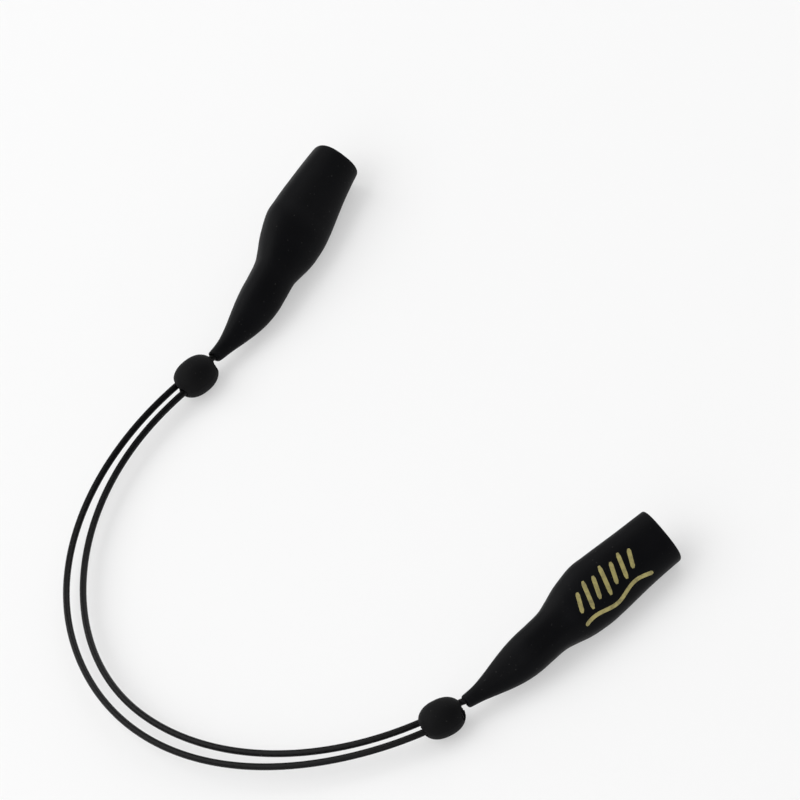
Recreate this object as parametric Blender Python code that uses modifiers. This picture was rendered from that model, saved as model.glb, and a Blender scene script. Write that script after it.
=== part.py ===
"""Adjustable eyeglass retainer: two soft temple sleeves joined by a twin-cable loop with adjuster beads.

The retainer lies on a table, Z = 0, with its two sleeves opening evenly to either side of +X and the
loop behind them, a little askew. +Y is the wearer's left. The two cables are arcs about one upright
axis through the loop's centre: the left cable is anchored in the left sleeve, slides through the left
bead and ends in the right bead, and the right cable does the same the other way round. The loop and
the sleeves are laid out in the loop's own frame, whose -X is the back of the loop, and LOOP_SKEW turns
that frame into the model's. Lengths are in metres, angles in degrees.
"""

import math

import bmesh
import bpy
from mathutils import Matrix, Vector

# ---------------------------------------------------------------- driving sizes
LOOP_RADIUS = 0.0560          # mid line between the two cables, seen from above
LOOP_HALF_SPAN = 81.5         # from the back of the loop to each bead
LOOP_SKEW = -20.3             # turn of the loop's own frame, which evens the two sleeves about +X
LOOP_CENTRE = Vector((-0.0165, -0.0017, 0.0))     # puts the origin under the middle of the solid pieces

CABLE_DIAMETER = 0.0013
CABLE_SPREAD = 0.0007         # how far each cable bows away from the other past its sliding length
WIRE_DIAMETER = 0.0006        # bared end inside a crimp

BEAD_LENGTH = 0.0088
BEAD_WALL = 0.00073           # rubber outside the grip bush
BEAD_WEB = 0.00015            # rubber between the two holes
BEAD_FULLNESS = 2.3           # 2 is an ellipsoid, higher is blunter
BUSH_WALL = 0.0003
BUSH_LENGTH = 0.0024
BUSH_INSET = 0.0015           # from the bead's loop end
CRIMP_WALL = 0.0003
CRIMP_LENGTH = 0.0031
BEAD_PLUG_LENGTH = 0.0009
BEAD_PLUG_INSET = 0.0007      # from the bead's sleeve end

SLEEVE_LENGTH = 0.0477
SLEEVE_WIDTH = 0.0129         # at the widest, where a temple tip sits
SLEEVE_WALL = 0.0011
SLEEVE_SQUARENESS = 2.5       # 2 is an oval section, higher is boxier
SLEEVE_NOSE_GAP = 0.0007      # from a bead's end to its sleeve's nose
SLEEVE_NOSE_SHIFT = 0.0010    # sideways from the bead's middle, towards the hole its cable runs through
NOSE_LENGTH = 0.0224          # solid, from the tip to the hollow for the temple
NOSE_WALL = 0.00035           # round the cable's hole at the tip
FERRULE_WALL = 0.0006
FERRULE_LENGTH = 0.0050
FERRULE_INSET = 0.0009        # from the plug's mouth end
PLUG_WALL = 0.0006
PLUG_NECK = 0.0021            # the plug's narrow bore, on the nose side
SLEEVE_HEADING = {"left": 31.9, "right": 8.6}     # in the loop's frame, from +X towards +Y
SLEEVE_ROLL = {"left": 48.0, "right": 36.0}       # its broad face leans over towards -Y
SLEEVE_BOW = {"left": -0.0023, "right": -0.0010}  # sideways bend of the soft nose
SLEEVE_MOUTH = {"left": 0.74, "right": 0.885}     # width at the mouth as a share of the widest

# Share of the length from the nose, then width and thickness there as shares of SLEEVE_WIDTH, before the
# width is tapered to the mouth
SLEEVE_STATIONS = (
    (0.00, 0.200, 0.200),
    (0.06, 0.258, 0.250),
    (0.12, 0.366, 0.330),
    (0.18, 0.486, 0.420),
    (0.24, 0.581, 0.510),
    (0.30, 0.630, 0.580),
    (0.36, 0.636, 0.600),
    (0.43, 0.655, 0.610),
    (0.48, 0.751, 0.640),
    (0.53, 0.867, 0.690),
    (0.58, 0.942, 0.710),
    (0.64, 0.995, 0.720),
    (0.70, 0.985, 0.720),
    (0.85, 0.960, 0.715),
    (1.00, 0.985, 0.700),
)
WIDEST = 0.62                 # where the taper to the mouth begins
SLEEVE_CREST = 0.70           # where it rests on the table
OPENING_TRAVEL = 60.0         # how far the right side turns about the loop's axis when let out

GAP = 0.0003                  # between pieces that touch or slide

# ---------------------------------------------------------------- derived sizes
CABLE_RADIUS = CABLE_DIAMETER / 2
BORE_RADIUS = CABLE_RADIUS + GAP
BUSH_RADIUS = BORE_RADIUS + BUSH_WALL
BUSH_POCKET = BUSH_RADIUS + GAP
CABLE_SPACING = BORE_RADIUS + BEAD_WEB + BUSH_POCKET      # between the cables' mid lines in the beads
BEAD_DIAMETER = CABLE_SPACING + 2 * (BUSH_POCKET + BEAD_WALL)
BUSH_START = BUSH_INSET - BEAD_LENGTH / 2                 # along a bead, from its centre to its sleeve
BUSH_END = BUSH_START + BUSH_LENGTH
WIRE_RADIUS = WIRE_DIAMETER / 2
CRIMP_BORE = WIRE_RADIUS + GAP
CRIMP_RADIUS = CRIMP_BORE + CRIMP_WALL
BEAD_PLUG_END = BEAD_LENGTH / 2 - BEAD_PLUG_INSET
BEAD_PLUG_START = BEAD_PLUG_END - BEAD_PLUG_LENGTH
CRIMP_END = BEAD_PLUG_START - 2 * GAP
CRIMP_START = CRIMP_END - CRIMP_LENGTH
BEAD_CABLE_END = CRIMP_START - GAP
FERRULE_RADIUS = CRIMP_BORE + FERRULE_WALL
PLUG_BORE = FERRULE_RADIUS + GAP
PLUG_RADIUS = PLUG_BORE + PLUG_WALL
POCKET_RADIUS = PLUG_RADIUS + GAP
PLUG_START = GAP                                          # along a plug's pocket, from its nose end
PLUG_STEP = PLUG_START + PLUG_NECK
ANCHOR_CABLE_END = PLUG_STEP + GAP
FERRULE_START = ANCHOR_CABLE_END + 2 * GAP
FERRULE_END = FERRULE_START + FERRULE_LENGTH
PLUG_END = FERRULE_END + FERRULE_INSET
POCKET_LENGTH = PLUG_END + GAP
SOCKET_START = NOSE_LENGTH / SLEEVE_LENGTH                # as a share of the sleeve
POCKET_START = (NOSE_LENGTH - POCKET_LENGTH) / SLEEVE_LENGTH
CABLE_HEIGHT = BEAD_DIAMETER / 2
SEGMENTS = 32
POINT_SPACING = 2.5 * CABLE_DIAMETER
SIDES = ("left", "right")
MIRROR = {"left": 1.0, "right": -1.0}             # which side of the X axis a bead stands on
OTHER = {"left": "right", "right": "left"}

# ---------------------------------------------------------------- clean start
for old in list(bpy.data.objects):
    bpy.data.objects.remove(old, do_unlink=True)

PARTS = bpy.data.collections.new("eyeglass_retainer")
CUTTERS = bpy.data.collections.new("cutters")
for made in (PARTS, CUTTERS):
    bpy.context.scene.collection.children.link(made)


def empty(name, location, parent=None):
    """An upright axis that a side hangs from."""
    axis = bpy.data.objects.new(name, None)
    axis.location = location
    axis.empty_display_size = 0.01
    axis.parent = parent
    PARTS.objects.link(axis)
    return axis


LOOP_AXIS = empty("loop_axis", LOOP_CENTRE)
LOOP_AXIS.rotation_euler.z = math.radians(LOOP_SKEW)
SIDE_AXIS = {side: empty(f"{side}_side_axis", (0, 0, 0), LOOP_AXIS) for side in SIDES}


def material(name, colour, roughness, metallic=0.0):
    """A plain finish that stands for one material of the retainer."""
    made = bpy.data.materials.new(name)
    made.use_nodes = True
    shader = made.node_tree.nodes["Principled BSDF"]
    shader.inputs["Base Color"].default_value = (*colour, 1.0)
    shader.inputs["Roughness"].default_value = roughness
    shader.inputs["Metallic"].default_value = metallic
    made.diffuse_color = (*colour, 1.0)
    return made


SLEEVE_RUBBER = material("soft_black_rubber", (0.010, 0.011, 0.014), 0.55)
BEAD_RUBBER = material("firm_black_rubber", (0.016, 0.016, 0.018), 0.60)
CABLE_COATING = material("gloss_black_coating", (0.012, 0.012, 0.013), 0.28)
PLUG_NYLON = material("grey_nylon", (0.22, 0.22, 0.23), 0.50)
BUSH_SILICONE = material("smoke_silicone", (0.08, 0.08, 0.09), 0.45)
STEEL = material("stainless_wire", (0.56, 0.57, 0.58), 0.32, 1.0)
CRIMP_METAL = material("tinned_crimp", (0.66, 0.66, 0.64), 0.36, 1.0)


def add(name, mesh, finish, side, matrix=Matrix(), cutter=False):
    """Put a mesh into the model, or among the cutters, hung from its side's axis."""
    placed = bpy.data.objects.new(name, mesh)
    (CUTTERS if cutter else PARTS).objects.link(placed)
    placed.parent = SIDE_AXIS[side]
    placed.matrix_local = matrix
    if cutter:
        placed.hide_render = True
        placed.display_type = "WIRE"
    else:
        mesh.materials.append(finish)
    return placed


def cut(target, *cutters):
    """Take each cutter out of the target."""
    for cutter in cutters:
        boolean = target.modifiers.new(cutter.name, "BOOLEAN")
        boolean.operation = "DIFFERENCE"
        boolean.solver = "EXACT"
        boolean.object = cutter


def smooth(mesh):
    """Shade a mesh smooth but for its sharp edges."""
    mesh.shade_smooth()
    mesh.set_sharp_from_angle(angle=math.radians(40))


def turned(name, profile, finish, side, matrix, closed=True, steps=24):
    """A piece turned about its own Z axis from (radius, height) points running down its outer side."""
    mesh = bpy.data.meshes.new(name)
    shape = bmesh.new()
    points = [shape.verts.new((radius, 0.0, height)) for radius, height in profile]
    pairs = list(zip(points, points[1:]))
    if closed:
        pairs.append((points[-1], points[0]))
    for first, second in pairs:
        shape.edges.new((first, second))
    shape.to_mesh(mesh)
    shape.free()
    made = add(name, mesh, finish, side, matrix)
    screw = made.modifiers.new("turn", "SCREW")
    screw.axis = "Z"
    screw.steps = steps
    screw.render_steps = steps
    screw.use_merge_vertices = True
    screw.merge_threshold = 0.00001
    screw.use_smooth_shade = True
    return made


def cylinder(name, radius, start, end, side, matrix, cutter=True, finish=None, steps=24):
    """A round bar along its own Z axis, from start to end."""
    mesh = bpy.data.meshes.new(name)
    shape = bmesh.new()
    bmesh.ops.create_cone(
        shape, cap_ends=True, segments=steps, radius1=radius, radius2=radius, depth=end - start,
        matrix=Matrix.Translation((0, 0, (start + end) / 2)),
    )
    shape.to_mesh(mesh)
    shape.free()
    smooth(mesh)
    return add(name, mesh, finish, side, matrix, cutter=cutter)


def tube(name, points, radius, finish, side, cutter=False):
    """A round cable or hole along a run of points."""
    curve = bpy.data.curves.new(name, "CURVE")
    curve.dimensions = "3D"
    curve.bevel_depth = radius
    curve.bevel_resolution = 2
    curve.use_fill_caps = True
    run = curve.splines.new("POLY")
    run.points.add(len(points) - 1)
    for target, point in zip(run.points, points):
        target.co = (*point, 1.0)
    if not cutter:
        curve.materials.append(finish)
        made = bpy.data.objects.new(name, curve)
        PARTS.objects.link(made)
        made.parent = SIDE_AXIS[side]
        return made
    guide = bpy.data.objects.new(name + "_guide", curve)
    bpy.context.scene.collection.objects.link(guide)
    graph = bpy.context.evaluated_depsgraph_get()
    mesh = bpy.data.meshes.new_from_object(guide.evaluated_get(graph))
    bpy.data.objects.remove(guide, do_unlink=True)
    shape = bmesh.new()
    shape.from_mesh(mesh)
    bmesh.ops.remove_doubles(shape, verts=shape.verts, dist=0.000001)
    bmesh.ops.recalc_face_normals(shape, faces=shape.faces)
    shape.to_mesh(mesh)
    shape.free()
    return add(name, mesh, None, side, cutter=True)


# ---------------------------------------------------------------- the loop
def bead_angle(side):
    """Where a bead stands on the loop, counted from +X."""
    return MIRROR[side] * (180.0 - LOOP_HALF_SPAN)


def on_loop(angle, offset=0.0):
    """A point of the loop at an angle from +X, offset outwards from the mid line."""
    turn = math.radians(angle)
    reach = LOOP_RADIUS + offset
    return Vector((reach * math.cos(turn), reach * math.sin(turn), CABLE_HEIGHT))


def along(side):
    """The unit direction from the loop through a side's bead to its sleeve."""
    turn = math.radians(bead_angle(side))
    return MIRROR[side] * Vector((math.sin(turn), -math.cos(turn), 0.0))


def cable_offset(side):
    """The left cable runs outside the mid line and the right cable inside it."""
    return MIRROR[side] * CABLE_SPACING / 2


def nose_point(side):
    """The tip of a sleeve's nose, a little to the side of its bead's middle."""
    reach = along(side) * (BEAD_LENGTH / 2 + SLEEVE_NOSE_GAP)
    return on_loop(bead_angle(side), MIRROR[side] * SLEEVE_NOSE_SHIFT) + reach


def bead_frame(side, offset=0.0):
    """A frame at a bead's centre: its Z runs towards the sleeve, its X runs outwards from the loop."""
    axis = along(side)
    outward = Vector((math.cos(math.radians(bead_angle(side))), math.sin(math.radians(bead_angle(side))), 0))
    up = axis.cross(outward)
    turn = Matrix((outward, up, axis)).transposed().to_4x4()
    return Matrix.Translation(on_loop(bead_angle(side), offset)) @ turn


def smoothstep(value):
    """Ease a share from 0 to 1."""
    held = min(max(value, 0.0), 1.0)
    return held * held * (3.0 - 2.0 * held)


def spread(side, swept):
    """How far a cable bows away from its twin at an angle swept from its own bead along the loop."""
    start = OPENING_TRAVEL + math.degrees(BEAD_LENGTH / 2 / LOOP_RADIUS) + 2.0
    end = 2 * LOOP_HALF_SPAN - 12.0
    if not start < swept < end:
        return 0.0
    share = (swept - start) / (end - start)
    return MIRROR[side] * CABLE_SPREAD * math.sin(math.pi * share) ** 2


# ---------------------------------------------------------------- the sleeves
def station(side, share):
    """Width and thickness of a sleeve at a share of its length, by a smooth curve through the stations."""
    rows = SLEEVE_STATIONS
    share = min(max(share, 0.0), 1.0)
    taper = 1.0 - (1.0 - SLEEVE_MOUTH[side]) * smoothstep((share - WIDEST) / (1.25 - WIDEST)) / smoothstep(
        (1.0 - WIDEST) / (1.25 - WIDEST))
    index = max(i for i in range(len(rows) - 1) if rows[i][0] <= share)
    low, high = rows[index], rows[index + 1]
    before = rows[max(index - 1, 0)]
    after = rows[min(index + 2, len(rows) - 1)]
    step = high[0] - low[0]
    local = (share - low[0]) / step
    sizes = []
    for column in (1, 2):
        slope_low = (high[column] - before[column]) / (high[0] - before[0]) * step
        slope_high = (after[column] - low[column]) / (after[0] - low[0]) * step
        square = local * local
        cube = square * local
        sizes.append(
            (2 * cube - 3 * square + 1) * low[column] + (cube - 2 * square + local) * slope_low
            + (3 * square - 2 * cube) * high[column] + (cube - square) * slope_high
        )
    least = 2 * (BORE_RADIUS + NOSE_WALL)
    return max(sizes[0] * SLEEVE_WIDTH * taper, least), max(sizes[1] * SLEEVE_WIDTH, least)


def half_height(side, share):
    """How far a sleeve's rolled section reaches below its middle."""
    width, thick = station(side, share)
    roll = math.radians(SLEEVE_ROLL[side])
    power = SLEEVE_SQUARENESS / (SLEEVE_SQUARENESS - 1.0)
    across = (width / 2 * abs(math.sin(roll))) ** power
    return (across + (thick / 2 * abs(math.cos(roll))) ** power) ** (1.0 / power)


def spine(side, share):
    """The middle of a sleeve in its own frame: X from nose to mouth, Y to its left, Z up.

    It rises from the loop's level to where the sleeve rests on its widest part, and stays level from there.
    """
    bend = 6.75 * share * (1.0 - share) ** 2
    rise = half_height(side, SLEEVE_CREST) - CABLE_HEIGHT
    lift = max(CABLE_HEIGHT + rise * smoothstep(share / SLEEVE_CREST), half_height(side, share))
    return Vector((share * SLEEVE_LENGTH, SLEEVE_BOW[side] * bend, lift))


def sleeve_frame(side):
    """A frame on the table under the tip of a sleeve's nose, its X towards the mouth."""
    tip = nose_point(side)
    turn = Matrix.Rotation(math.radians(SLEEVE_HEADING[side]), 4, "Z")
    return Matrix.Translation((tip.x, tip.y, 0.0)) @ turn


def section(side, share, reach, inset, scale=1.0):
    """The outline of a sleeve's rolled oval section, inset by a wall, at reach along its length."""
    width, thick = station(side, share)
    centre = spine(side, share)
    roll = math.radians(SLEEVE_ROLL[side])
    outline = []
    for index in range(SEGMENTS):
        turn = 2 * math.pi * index / SEGMENTS
        across = math.cos(turn)
        upward = math.sin(turn)
        power = 2.0 / SLEEVE_SQUARENESS
        broad = scale * (width / 2 - inset) * math.copysign(abs(across) ** power, across)
        flat = scale * (thick / 2 - inset) * math.copysign(abs(upward) ** power, upward)
        outline.append(Vector((
            reach,
            centre.y + broad * math.cos(roll) - flat * math.sin(roll),
            centre.z + broad * math.sin(roll) + flat * math.cos(roll),
        )))
    return outline


def loft(name, sections, finish, side, matrix, cutter=False):
    """A closed skin through unlike sections, each a ring of as many points."""
    mesh = bpy.data.meshes.new(name)
    shape = bmesh.new()
    rings = [[shape.verts.new(point) for point in ring] for ring in sections]
    for ring, following in zip(rings, rings[1:]):
        for index in range(SEGMENTS):
            after = (index + 1) % SEGMENTS
            shape.faces.new((ring[index], ring[after], following[after], following[index]))
    shape.faces.new(rings[0])
    shape.faces.new(rings[-1])
    bmesh.ops.recalc_face_normals(shape, faces=shape.faces)
    shape.to_mesh(mesh)
    shape.free()
    smooth(mesh)
    return add(name, mesh, finish, side, matrix, cutter=cutter)


def spaced(start, end, count):
    """Evenly spaced numbers from start to end, both included."""
    return [start + (end - start) * index / (count - 1) for index in range(count)]


def plug_frame(side):
    """A frame at the nose end of the anchor plug's pocket, its Z along the bent nose to the mouth."""
    start = spine(side, POCKET_START)
    end = spine(side, SOCKET_START)
    turn = (end - start).to_track_quat("Z", "Y").to_matrix().to_4x4()
    return sleeve_frame(side) @ Matrix.Translation(start) @ turn


def hermite(start, start_slope, end, end_slope, count):
    """Points between two ends that leave and arrive along the given slopes."""
    points = []
    for share in spaced(0.0, 1.0, count):
        square = share * share
        cube = square * share
        points.append(
            (2 * cube - 3 * square + 1) * start + (cube - 2 * square + share) * start_slope
            + (3 * square - 2 * cube) * end + (cube - square) * end_slope
        )
    return points


def nose_run(side):
    """A cable's way from its bead into the nose and up to the anchor plug."""
    edge = math.degrees(BEAD_LENGTH / 2 / LOOP_RADIUS)
    leave = on_loop(bead_angle(side) - MIRROR[side] * edge, cable_offset(side))
    frame = sleeve_frame(side)
    inside = [frame @ spine(side, share) for share in spaced(0.03, POCKET_START, 5)]
    slope = (inside[1] - inside[0]).normalized()
    reach = (inside[0] - leave).length
    bend = hermite(leave, along(side) * reach, inside[0], slope * reach, 5)
    return bend + inside[1:]


def cable_run(side):
    """The whole middle line of a cable, from its anchor in the nose round to the far bead."""
    anchor = plug_frame(side) @ Vector((0, 0, ANCHOR_CABLE_END))
    total = 2 * LOOP_HALF_SPAN
    count = int(LOOP_RADIUS * math.radians(total) / POINT_SPACING) + 1
    edge = math.degrees(BEAD_LENGTH / 2 / LOOP_RADIUS)
    stop = total + math.degrees(BEAD_CABLE_END / LOOP_RADIUS)
    arc = []
    for swept in spaced(-edge, stop, count)[1:]:
        offset = cable_offset(side) + spread(side, swept)
        arc.append(on_loop(bead_angle(side) + MIRROR[side] * swept, offset))
    return [anchor] + nose_run(side)[::-1] + arc


def build_sleeve(side):
    """A sleeve with its socket for the temple, its pocket for the anchor plug and its nose's hole."""
    frame = sleeve_frame(side)
    shares = spaced(0.0, 1.0, 30)
    outer = [section(side, share, share * SLEEVE_LENGTH, 0.0) for share in shares]
    sleeve = loft(f"{side}_temple_sleeve", outer, SLEEVE_RUBBER, side, frame)
    inner_shares = spaced(SOCKET_START + 0.02, 1.0, 16)
    inner = [section(side, SOCKET_START, SOCKET_START * SLEEVE_LENGTH, SLEEVE_WALL, 0.75)]
    inner += [section(side, share, share * SLEEVE_LENGTH, SLEEVE_WALL) for share in inner_shares]
    inner.append(section(side, 1.0, 1.05 * SLEEVE_LENGTH, SLEEVE_WALL))
    hollow = loft(f"{side}_socket_cutter", inner, None, side, frame, cutter=True)
    plug = plug_frame(side)
    through = POCKET_LENGTH + SLEEVE_WALL
    pocket = cylinder(f"{side}_plug_pocket_cutter", POCKET_RADIUS, 0.0, through, side, plug)
    way = nose_run(side)
    ahead = way[0] - along(side) * 0.001
    into = plug @ Vector((0, 0, 0.001))
    hole = tube(f"{side}_nose_hole_cutter", [ahead] + way + [into], BORE_RADIUS, None, side, cutter=True)
    cut(sleeve, hollow, pocket, hole)


def build_anchor(side):
    """The plug that seats in the nose, and the ferrule and bared wire that hold the cable's end in it."""
    frame = plug_frame(side)
    turned(
        f"{side}_anchor_plug",
        [
            (PLUG_RADIUS, PLUG_END), (PLUG_RADIUS, PLUG_START), (BORE_RADIUS, PLUG_START),
            (BORE_RADIUS, PLUG_STEP), (PLUG_BORE, PLUG_STEP), (PLUG_BORE, PLUG_END),
        ],
        PLUG_NYLON, side, frame,
    )
    chamfer = 0.3 * FERRULE_WALL
    turned(
        f"{side}_anchor_ferrule",
        [
            (FERRULE_RADIUS - chamfer, FERRULE_END), (FERRULE_RADIUS, FERRULE_END - chamfer),
            (FERRULE_RADIUS, FERRULE_START + chamfer), (FERRULE_RADIUS - chamfer, FERRULE_START),
            (CRIMP_BORE, FERRULE_START), (CRIMP_BORE, FERRULE_END),
        ],
        CRIMP_METAL, side, frame,
    )
    cylinder(
        f"{side}_cable_anchor_tail", WIRE_RADIUS, FERRULE_START - GAP, FERRULE_END + GAP, side, frame,
        cutter=False, finish=STEEL, steps=12,
    )


def build_cable(side):
    """The coated cable that is anchored in a side's sleeve."""
    tube(f"{side}_cable", cable_run(side), CABLE_RADIUS, CABLE_COATING, side)


def build_bead(side):
    """The bead beside one side's sleeve. It belongs to the other side, whose cable ends in it."""
    owner = OTHER[side]
    frame = bead_frame(side)
    half = BEAD_LENGTH / 2
    profile = []
    for turn in spaced(0.0, math.pi, 19):
        up = math.cos(turn)
        out = math.sin(turn)
        power = 2.0 / BEAD_FULLNESS
        radius = BEAD_DIAMETER / 2 * abs(out) ** power
        profile.append((0.0 if radius < 1e-6 else radius, math.copysign(half * abs(up) ** power, up)))
    bead = turned(f"{side}_adjuster_bead", profile, BEAD_RUBBER, owner, frame, closed=False, steps=28)

    mirror = MIRROR[side]
    edge = math.degrees(0.75 * BEAD_LENGTH / LOOP_RADIUS)
    slides = cable_offset(side)
    ends = cable_offset(owner)
    bore_run = [on_loop(bead_angle(side) + mirror * turn, slides) for turn in spaced(-edge, edge, 9)]
    bore = tube(f"{side}_bead_bore_cutter", bore_run, BORE_RADIUS, None, owner, cutter=True)
    inlet_run = [on_loop(bead_angle(side) + mirror * turn, ends) for turn in spaced(0.0, edge, 5)]
    inlet = tube(f"{side}_bead_inlet_cutter", inlet_run, BORE_RADIUS, None, owner, cutter=True)

    bush_frame = bead_frame(side, slides)
    bush_pocket = cylinder(
        f"{side}_bush_pocket_cutter", BUSH_POCKET, -BEAD_LENGTH, BUSH_END + GAP, owner, bush_frame,
    )
    crimp_frame = bead_frame(side, ends)
    crimp_pocket = cylinder(
        f"{side}_crimp_pocket_cutter", CRIMP_RADIUS + GAP, CRIMP_START - GAP, BEAD_LENGTH, owner, crimp_frame,
    )
    cut(bead, bore, inlet, bush_pocket, crimp_pocket)

    turned(
        f"{side}_grip_bush",
        [
            (BUSH_RADIUS, BUSH_END), (BUSH_RADIUS, BUSH_START),
            (BORE_RADIUS, BUSH_START), (BORE_RADIUS, BUSH_END),
        ],
        BUSH_SILICONE, owner, bush_frame,
    )
    turned(
        f"{side}_bead_crimp",
        [
            (CRIMP_RADIUS, CRIMP_END), (CRIMP_RADIUS, CRIMP_START),
            (CRIMP_BORE, CRIMP_START), (CRIMP_BORE, CRIMP_END),
        ],
        CRIMP_METAL, owner, crimp_frame,
    )
    cylinder(
        f"{owner}_cable_bead_tail", WIRE_RADIUS, CRIMP_START, CRIMP_END + GAP, owner, crimp_frame,
        cutter=False, finish=STEEL, steps=12,
    )
    cylinder(
        f"{side}_bead_plug", CRIMP_RADIUS, BEAD_PLUG_START, BEAD_PLUG_END, owner, crimp_frame,
        cutter=False, finish=BEAD_RUBBER, steps=20,
    )


for each in SIDES:
    build_sleeve(each)
    build_anchor(each)
    build_cable(each)
    build_bead(each)
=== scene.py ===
"""Studio scene of an adjustable eyeglass retainer: two soft temple sleeves, a twin-cable loop, two beads.

The retainer lies on a pale table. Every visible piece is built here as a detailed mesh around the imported
model's own solids: the moulded sleeves with their sockets, the oval beads with their flared cable holes,
the coated cables, and the small print on one sleeve. The fittings inside keep their own solids and get
their finishes here. Lengths are in metres and angles in degrees unless a name says otherwise.
"""

import logging
import math
from dataclasses import dataclass, field
from enum import Enum
from typing import Dict, Iterable, List, Optional, Sequence, Tuple

import bmesh
import bpy
import numpy as np
from mathutils import Matrix, Vector


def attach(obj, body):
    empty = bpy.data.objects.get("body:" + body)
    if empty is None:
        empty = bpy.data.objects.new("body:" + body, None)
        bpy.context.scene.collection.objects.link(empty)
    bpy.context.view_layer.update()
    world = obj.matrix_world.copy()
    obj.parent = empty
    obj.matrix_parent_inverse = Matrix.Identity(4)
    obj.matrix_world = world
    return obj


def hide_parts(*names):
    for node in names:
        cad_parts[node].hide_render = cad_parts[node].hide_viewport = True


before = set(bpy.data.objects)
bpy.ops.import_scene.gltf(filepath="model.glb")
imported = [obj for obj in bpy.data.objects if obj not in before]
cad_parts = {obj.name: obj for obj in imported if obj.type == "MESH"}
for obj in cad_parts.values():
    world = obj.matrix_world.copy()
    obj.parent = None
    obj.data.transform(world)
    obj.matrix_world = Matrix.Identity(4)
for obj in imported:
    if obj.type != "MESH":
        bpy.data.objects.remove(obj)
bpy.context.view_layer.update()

LOG = logging.getLogger("eyeglass_retainer")
SHARP_EDGE = math.radians(38)
MILLIMETRES = 1000.0
WELD = 0.000002


class Side(Enum):
    """The two sides of the retainer, named from the wearer's point of view."""

    LEFT = "left"
    RIGHT = "right"

    @property
    def mirror(self) -> float:
        """The sign of the side's place across the loop."""
        return 1.0 if self is Side.LEFT else -1.0

    @property
    def other(self) -> "Side":
        """The side across the loop from this one."""
        return Side.RIGHT if self is Side.LEFT else Side.LEFT

    @property
    def body(self) -> str:
        """The moving body that this side's sleeve and cable belong to."""
        return f"{self.value}_side"


class Slot(Enum):
    """The record's material slots."""

    SLEEVE_RUBBER = "sleeve_rubber"
    BEAD_RUBBER = "bead_rubber"
    CABLE_COATING = "cable_coating"
    PLUG_NYLON = "plug_nylon"
    BUSH_SILICONE = "bush_silicone"
    WIRE_STEEL = "wire_steel"
    CRIMP_METAL = "crimp_metal"


# ---------------------------------------------------------------- small geometry helpers
def smoothstep(value: float) -> float:
    """Ease a share from 0 to 1.

    Args:
        value: The share, which is held between 0 and 1.

    Returns:
        The eased share.
    """
    held = min(max(value, 0.0), 1.0)
    return held * held * (3.0 - 2.0 * held)


def signed_power(value: float, power: float) -> float:
    """Raise a number's size to a power and keep its sign."""
    return math.copysign(abs(value) ** power, value)


def spaced(start: float, end: float, count: int) -> List[float]:
    """Evenly spaced numbers from start to end, both included."""
    return [start + (end - start) * index / (count - 1) for index in range(count)]


def hermite(start: Vector, start_slope: Vector, end: Vector, end_slope: Vector, count: int) -> List[Vector]:
    """Points between two ends that leave and arrive along the given slopes.

    Args:
        start: The first point.
        start_slope: The way the curve leaves it.
        end: The last point.
        end_slope: The way the curve arrives there.
        count: How many points to return.

    Returns:
        The points, the two ends included.
    """
    points = []
    for share in spaced(0.0, 1.0, count):
        square = share * share
        cube = square * share
        points.append(
            (2 * cube - 3 * square + 1) * start + (cube - 2 * square + share) * start_slope
            + (3 * square - 2 * cube) * end + (cube - square) * end_slope
        )
    return points


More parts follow.
